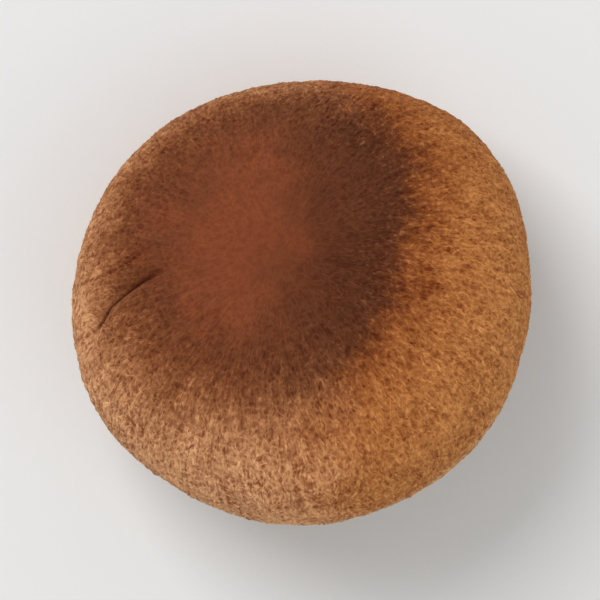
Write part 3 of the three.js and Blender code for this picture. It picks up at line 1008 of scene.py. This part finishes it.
def cap_material():
    """Brown suede: a dark disc off the middle, tan to the left of it and golden to the right."""
    m = Nodes("cap_skin", roughness=0.85, specular=0.1)
    disc_x = m.math("DIVIDE", m.math("SUBTRACT", m.x, DISC_X), DISC_WIDE)
    disc_y = m.math("DIVIDE", m.math("SUBTRACT", m.y, DISC_Y), DISC_LONG)
    off = m.distance(disc_x, disc_y)
    around, _ = m.round_axis(CAP_RADIUS)
    # The disc's edge is ragged, with tongues outwards, and slants a little on the right.
    tongues = m.grain(2.0, 3.0, stretch=(1.0, 6.0, 6.0), place=around)
    for ragged, amount in ((m.grain(8.0, 4.0), 0.34), (m.grain(1.5, 3.0), 0.3), (tongues, 0.2)):
        off = m.moved(off, ragged, amount)
    slant = m.math("MULTIPLY", m.ramp(m.y, 1.0, 11.0, 0.05, -0.05), m.ramp(m.x, 6.0, 14.0))
    off = m.math("ADD", off, slant)
    half = m.math("MULTIPLY", off, 0.5)
    rightwards = m.moved(m.x, m.grain(7.0, 4.0), 14.0)
    gold = m.ramp(rightwards, -7.0, 13.0)
    colour = m.mix(gold, m.colours(half, TAN_SIDE), m.colours(half, GOLD_SIDE))
    patch = m.moved(off, m.grain(5.0, 4.0), 1.3)
    patch = m.math("ADD", patch, m.ramp(m.x, -4.5, 13.0, -0.05, 0.55))
    colour = m.mix(m.ramp(patch, 0.95, 0.1, 0.0, 0.95), colour, srgb(*DISC_RED))
    colour = m.mix(m.ramp(m.z, MARGIN_DROP, 1.0, 0.0, 0.7), colour, srgb(*ROLLED_EDGE))
    # The nap: blotches, short strokes outwards and a fine grain, all stronger towards the margin.
    blotches = m.grain(0.75, 2.0)
    strokes = m.grain(0.7, 2.0, stretch=(1.0, 4.0, 4.0), place=around)
    nap = m.grain(0.38, 2.0, stretch=(1.0, 1.4, 1.4), place=around)
    curls = m.ramp(m.math("ABSOLUTE", m.math("SUBTRACT", m.grain(1.1, 1.0), 0.5)), 0.16, 0.0)
    uneven = m.total((blotches, 0.2), (strokes, 0.33), (nap, 0.37), (curls, 0.1))
    # The mottling is the skin's own tone. On the cap, "fine" is the relief's height, turned into
    # painted shade in its pits and grooves and painted light on its raised nap; on the tufts it is each
    # tuft's own lightness.
    shade = m.total(
        (m.math("SUBTRACT", uneven, 0.5), m.ramp(off, 0.3, 1.25, 1.5, 4.3)),
        (m.measure("fine"), m.ramp(off, 0.4, 1.3, 0.3, 1.35)),
    )
    shade = m.math("MULTIPLY", shade, m.ramp(rightwards, 2.0, 16.0, 1.0, 0.85))
    colour = m.shaded(colour, m.math("MAXIMUM", shade, DARKEST), FIBRE_AND_RELIEF_SHADE_TINT)
    pale = m.math("MULTIPLY", m.ramp(uneven, 0.56, 0.68), m.ramp(off, 0.8, 1.3, 0.0, 0.25))
    colour = m.mix(pale, colour, srgb(*PALE_NAP))
    # Painted shade along the fold's crease and the wrinkle beside it
    colour = m.mix(m.ramp(m.measure("crease_shade"), 0.1, 0.8, 0.0, 0.85), colour, srgb(*PAINTED_CREASE_SHADE))
    colour = m.mix(m.math("MULTIPLY", m.measure("inside"), 0.85), colour, srgb(*LIP_CREAM))
    coarse = m.bump(uneven, 0.25, 0.6)
    return m.finish(colour, m.bump(m.grain(0.22, 2.0), 0.06, 0.5, under=coarse))


def gill_material():
    """Cream blades, warmer near the stem, with faint tan marks on their edges."""
    m = Nodes("gills", roughness=0.7, specular=0.3, subsurface=0.25)
    around, out = m.round_axis(CAP_RADIUS)
    colour = m.mix(m.ramp(out, 8.0, 22.0), srgb(*GILL_NEAR_STEM), srgb(*GILL_NEAR_LIP))
    streaks = m.grain(1.2, 3.0, stretch=(0.5, 3.0, 1.0), place=around)
    colour = m.mix(m.ramp(streaks, 0.45, 0.75, 0.0, 0.35), colour, srgb(*GILL_STREAK))
    colour = m.mix(m.ramp(m.grain(4.5, 4.0), 0.62, 0.8, 0.0, 0.45), colour, srgb(*GILL_MARK))
    return m.finish(colour, m.bump(m.grain(0.3, 2.0), 0.06, 0.5))


def stem_material():
    """Off-white fibres, tan and brown towards the foot."""
    m = Nodes("stem", roughness=0.8, specular=0.25, subsurface=0.2)
    around, _ = m.round_axis(STEM_RADIUS)
    down = m.moved(m.z, m.grain(4.0, 3.0), 12.0)
    colour = m.mix(m.ramp(down, 4.0, -17.0), srgb(*STEM_WHITE), srgb(*STEM_TAN))
    broad = m.grain(1.6, 3.0, stretch=(1.0, 1.0, 3.0), place=around)
    colour = m.mix(m.ramp(broad, 0.5, 0.75, 0.0, 0.45), colour, srgb(*STEM_BROWN))
    fibres = m.grain(0.3, 3.0, stretch=(1.0, 1.0, 7.0), place=around)
    colour = m.mix(m.ramp(fibres, 0.5, 0.72, 0.0, 0.4), colour, srgb(*FIBRE_DARK))
    colour = m.mix(m.ramp(fibres, 0.46, 0.3, 0.0, 0.4), colour, srgb(*FIBRE_LIGHT))
    coarse = m.bump(m.math("ADD", fibres, broad), 0.25, 0.6)
    return m.finish(colour, m.bump(m.grain(0.25, 2.0), 0.08, 0.5, under=coarse))


def veil_material():
    m = Nodes("veil", roughness=0.9, specular=0.15, sheen=0.2, subsurface=0.3)
    colour = m.mix(m.ramp(m.grain(2.5, 2.0), 0.4, 0.7), srgb(*VEIL_WHITE), srgb(*VEIL_TAN))
    return m.finish(colour, m.bump(m.grain(0.2, 2.0), 0.05, 0.5))


def floor_material():
    material = bpy.data.materials.new("floor")
    material.use_nodes = True
    shader = material.node_tree.nodes["Principled BSDF"]
    shader.inputs["Base Color"].default_value = srgb(*FLOOR_GREY)
    shader.inputs["Roughness"].default_value = 0.6
    return material


# The set


FLOOR_SIDE = 3.0
FRAME_WIDTH = 0.077  # what the camera sees at the level of the cap
CAP_LEVEL = 0.42  # that level, as a share of the mushroom's height
CAMERA_LENS = 300.0
SENSOR = 36.0
WORLD_LIGHT = 0.48


def make_floor():
    half = FLOOR_SIDE / 2
    corners = [(-half, -half, 0), (half, -half, 0), (half, half, 0), (-half, half, 0)]
    mesh = bpy.data.meshes.new("floor")
    mesh.from_pydata(corners, [], [(0, 1, 2, 3)])
    floor = bpy.data.objects.new("floor", mesh)
    bpy.context.scene.collection.objects.link(floor)
    floor.data.materials.append(floor_material())


def add_area(name, place, side, power):
    """A soft square light that points at the mushroom."""
    light = bpy.data.lights.new(name, "AREA")
    light.size = side
    light.energy = power
    lamp = bpy.data.objects.new(name, light)
    lamp.location = place
    lamp.rotation_euler = (-Vector(place)).to_track_quat("-Z", "Y").to_euler()
    bpy.context.scene.collection.objects.link(lamp)


def light_set():
    add_area("key", place=(-0.45, 0.5, 0.9), side=0.6, power=6.4)
    add_area("fill", place=(0.7, -0.5, 0.7), side=0.8, power=1.6)
    world = bpy.data.worlds.new("studio")
    world.use_nodes = True
    background = world.node_tree.nodes["Background"]
    background.inputs["Color"].default_value = (1.0, 1.0, 1.0, 1.0)
    background.inputs["Strength"].default_value = WORLD_LIGHT
    bpy.context.scene.world = world


def aim_camera():
    """Looks straight down, with the photo's up along +Y."""
    camera = bpy.data.cameras.new("camera")
    camera.lens = CAMERA_LENS
    camera.sensor_width = SENSOR
    camera.clip_start = 0.01
    top = NODE_BOX[1][2]
    distance = FRAME_WIDTH * CAMERA_LENS / SENSOR
    seen_from = bpy.data.objects.new("camera", camera)
    seen_from.location = (0, 0, top * CAP_LEVEL + distance)
    bpy.context.scene.collection.objects.link(seen_from)
    bpy.context.scene.camera = seen_from


aim_camera()
light_set()
make_floor()
skin = cap_material()
make_cap(skin)
make_nap(skin)
make_gills(gill_material())
make_stem(stem_material())
make_veil(veil_material())
bpy.context.scene.view_settings.view_transform = "Standard"
